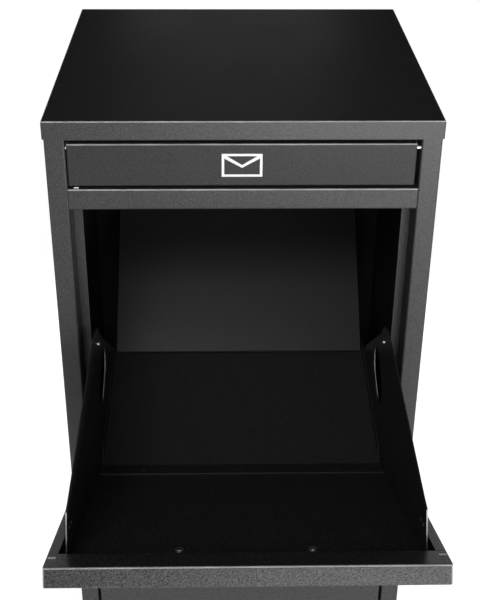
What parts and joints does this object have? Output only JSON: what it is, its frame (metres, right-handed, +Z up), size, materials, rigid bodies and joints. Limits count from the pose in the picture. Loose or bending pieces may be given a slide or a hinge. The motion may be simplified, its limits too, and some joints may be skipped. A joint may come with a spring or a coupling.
{
  "type": "parcel drop box",
  "caption": "Free-standing folded sheet-steel drop box: letter flap under the roof, tipping parcel hopper standing open, lockable collection door below.",
  "frame": {"origin": "centre of the cabinet's footprint, on the floor it stands on", "axes": "+Z up, the front with the flaps faces -Y, +X to the right of a person facing the front"},
  "size_m": [0.41, 0.6838, 1.02],
  "materials": {
    "powder_coat": "anthracite powder coat with a fine orange-peel texture, satin",
    "zinc": "bright zinc plating",
    "stainless": "brushed stainless steel",
    "nylon": "moulded black nylon, matt",
    "lock_chrome": "chrome-plated zinc die casting",
    "symbol_white": "white, smooth satin"
  },
  "bodies": {
    "cabinet": {"roof_cap": "powder_coat", "roof_studs": "zinc", "roof_nuts": "zinc", "left_side_panel": "powder_coat", "right_side_panel": "powder_coat", "back_panel": "powder_coat", "back_panel_rivets": "powder_coat", "base_plate": "powder_coat", "base_rivets": "powder_coat", "header_rail": "powder_coat", "crossbar": "powder_coat", "sill_rail": "powder_coat", "plinth_rail": "powder_coat", "rear_baffle": "powder_coat", "baffle_rivets": "powder_coat", "letter_flap_stop": "zinc", "door_bushes": "nylon"},
    "hopper": {"hopper_door": "powder_coat", "corner_stays": "zinc", "hopper_floor": "powder_coat", "left_side_plate": "powder_coat", "right_side_plate": "powder_coat", "side_plate_rivets": "powder_coat", "floor_rivets": "powder_coat", "stop_bolts": "zinc", "stop_spacers": "nylon", "stop_cap_nuts": "zinc", "hopper_hinge_pins": "zinc", "hinge_clips": "zinc", "hopper_handle": "stainless", "handle_screws": "zinc"},
    "flap": {"letter_flap": "powder_coat", "letter_flap_pins": "zinc", "letter_symbol": "symbol_white"},
    "door": {"collection_door": "powder_coat", "door_stiffener": "powder_coat", "collection_door_pins": "zinc", "lock_body": "lock_chrome", "lock_nut": "zinc"},
    "lock": {"lock_plug": "lock_chrome", "lock_cam": "zinc", "cam_screw": "zinc"}
  },
  "joints": [
    {"name": "hopper_tilt", "type": "hinge", "parent": "cabinet", "child": "hopper", "pos_m": [0, -0.18, 0.5744], "axis": [-1, 0, 0], "range_deg": [0, 66.6]},
    {"name": "letter_flap_hinge", "type": "hinge", "parent": "cabinet", "child": "flap", "pos_m": [0, -0.1805, 0.9882], "axis": [-1, 0, 0], "range_deg": [0, 85]},
    {"name": "collection_door_hinge", "type": "hinge", "parent": "cabinet", "child": "door", "pos_m": [-0.1732, -0.18, 0.286], "axis": [0, 0, -1], "range_deg": [0, 105]},
    {"name": "lock_turn", "type": "hinge", "parent": "door", "child": "lock", "pos_m": [0.1492, -0.17, 0.33], "axis": [0, -1, 0], "range_deg": [0, 90]}
  ]
}
